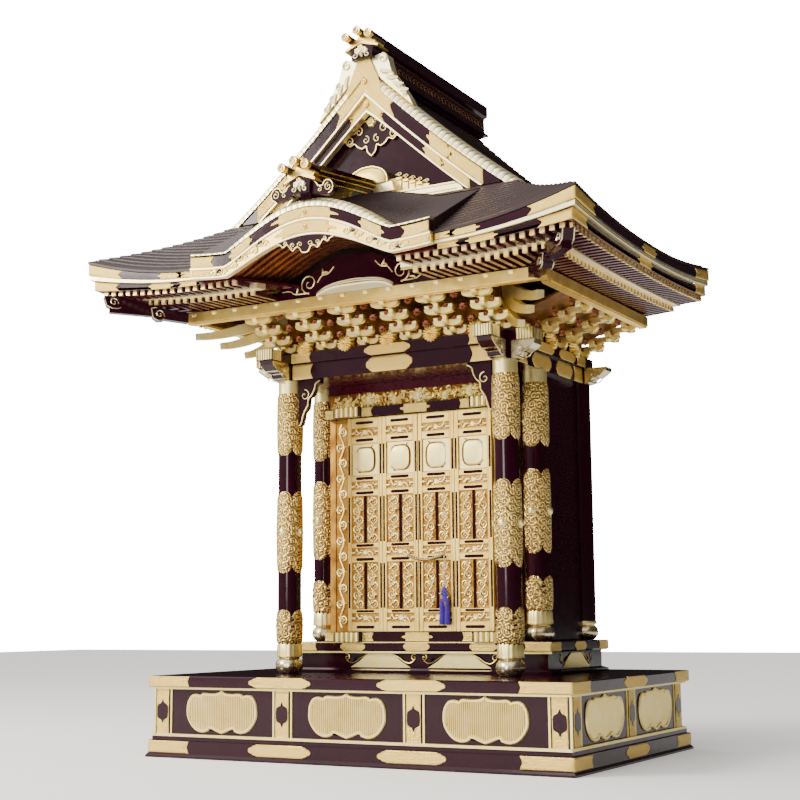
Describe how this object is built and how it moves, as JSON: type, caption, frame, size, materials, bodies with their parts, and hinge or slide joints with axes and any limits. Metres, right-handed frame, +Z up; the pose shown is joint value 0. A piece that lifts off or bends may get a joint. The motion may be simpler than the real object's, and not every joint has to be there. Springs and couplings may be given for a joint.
{
  "type": "temple shrine",
  "caption": "Miniature temple shrine on a dais: round columns, a cell closed by four folding leaves, bracketed eaves, a curved porch gable and a hipped and gabled roof.",
  "frame": {"origin": "middle of the footprint, on the floor under the dais", "axes": "+Z up along the shrine's height, -Y towards the front with the door, +X to the right seen from the front; the plane x = 0 is the shrine's plane of symmetry"},
  "size_m": [1.175, 0.859, 1.5851],
  "materials": {
    "lacquer": "black urushi lacquer, polished",
    "gold": "gold leaf over wood",
    "pale_gold": "gilt metal sheet with fine ornament",
    "vermilion": "dark red lacquer",
    "purple_silk": "silk threads",
    "pink_cord": "twisted silk cord"
  },
  "bodies": {
    "shrine": {"dais_base": "lacquer", "dais_top": "lacquer", "dais_wall_front": "lacquer", "dais_wall_back": "lacquer", "dais_wall_left": "lacquer", "dais_wall_right": "lacquer", "platform_apron": "lacquer", "platform_top": "lacquer", "column_front_left": "pale_gold", "column_front_right": "pale_gold", "column_mid_left": "pale_gold", "column_mid_right": "pale_gold", "column_rear_left": "lacquer", "column_rear_right": "lacquer", "tie_front": "lacquer", "tie_rear": "lacquer", "tie_left": "lacquer", "tie_right": "lacquer", "plate_front": "lacquer", "plate_left": "lacquer", "plate_right": "lacquer", "spandrel_left": "lacquer", "spandrel_right": "lacquer", "cell_back": "gold", "cell_left": "lacquer", "cell_right": "lacquer", "cell_ceiling": "vermilion", "threshold": "lacquer", "head_rail": "lacquer", "jamb_left": "gold", "jamb_right": "gold", "transom": "gold", "brackets_front": "gold", "brackets_left": "gold", "brackets_right": "gold", "brackets_rear": "lacquer", "eave_front_left": "gold", "eave_front_right": "gold", "eave_left": "gold", "eave_right": "gold", "hip_left": "lacquer", "hip_right": "lacquer", "roof": "lacquer", "bargeboard_left": "lacquer", "bargeboard_right": "lacquer", "gable_wall": "lacquer", "ridge": "lacquer", "ridge_end": "gold", "porch_roof": "lacquer", "porch_board": "lacquer", "porch_beam": "lacquer", "porch_ridge_end": "gold"},
    "left_outer_leaf": {"leaf_outer_left": "gold"},
    "left_inner_leaf": {"leaf_inner_left": "gold", "lock_left": "gold"},
    "right_outer_leaf": {"leaf_outer_right": "gold"},
    "right_inner_leaf": {"leaf_inner_right": "gold", "lock_right": "gold", "lock_tassel": "purple_silk", "lock_cord": "pink_cord"}
  },
  "joints": [
    {"name": "left_pivot", "type": "hinge", "parent": "shrine", "child": "left_outer_leaf", "pos_m": [-0.1795, 0.0865, 0.2635], "axis": [0, 0, -1], "range_deg": [0, 90]},
    {"name": "left_fold", "type": "hinge", "parent": "left_outer_leaf", "child": "left_inner_leaf", "pos_m": [-0.093, 0.079, 0.2635], "axis": [0, 0, -1], "range_deg": [0, 110]},
    {"name": "right_pivot", "type": "hinge", "parent": "shrine", "child": "right_outer_leaf", "pos_m": [0.1795, 0.0865, 0.2635], "axis": [0, 0, 1], "range_deg": [0, 90]},
    {"name": "right_fold", "type": "hinge", "parent": "right_outer_leaf", "child": "right_inner_leaf", "pos_m": [0.093, 0.079, 0.2635], "axis": [0, 0, 1], "range_deg": [0, 110]}
  ]
}
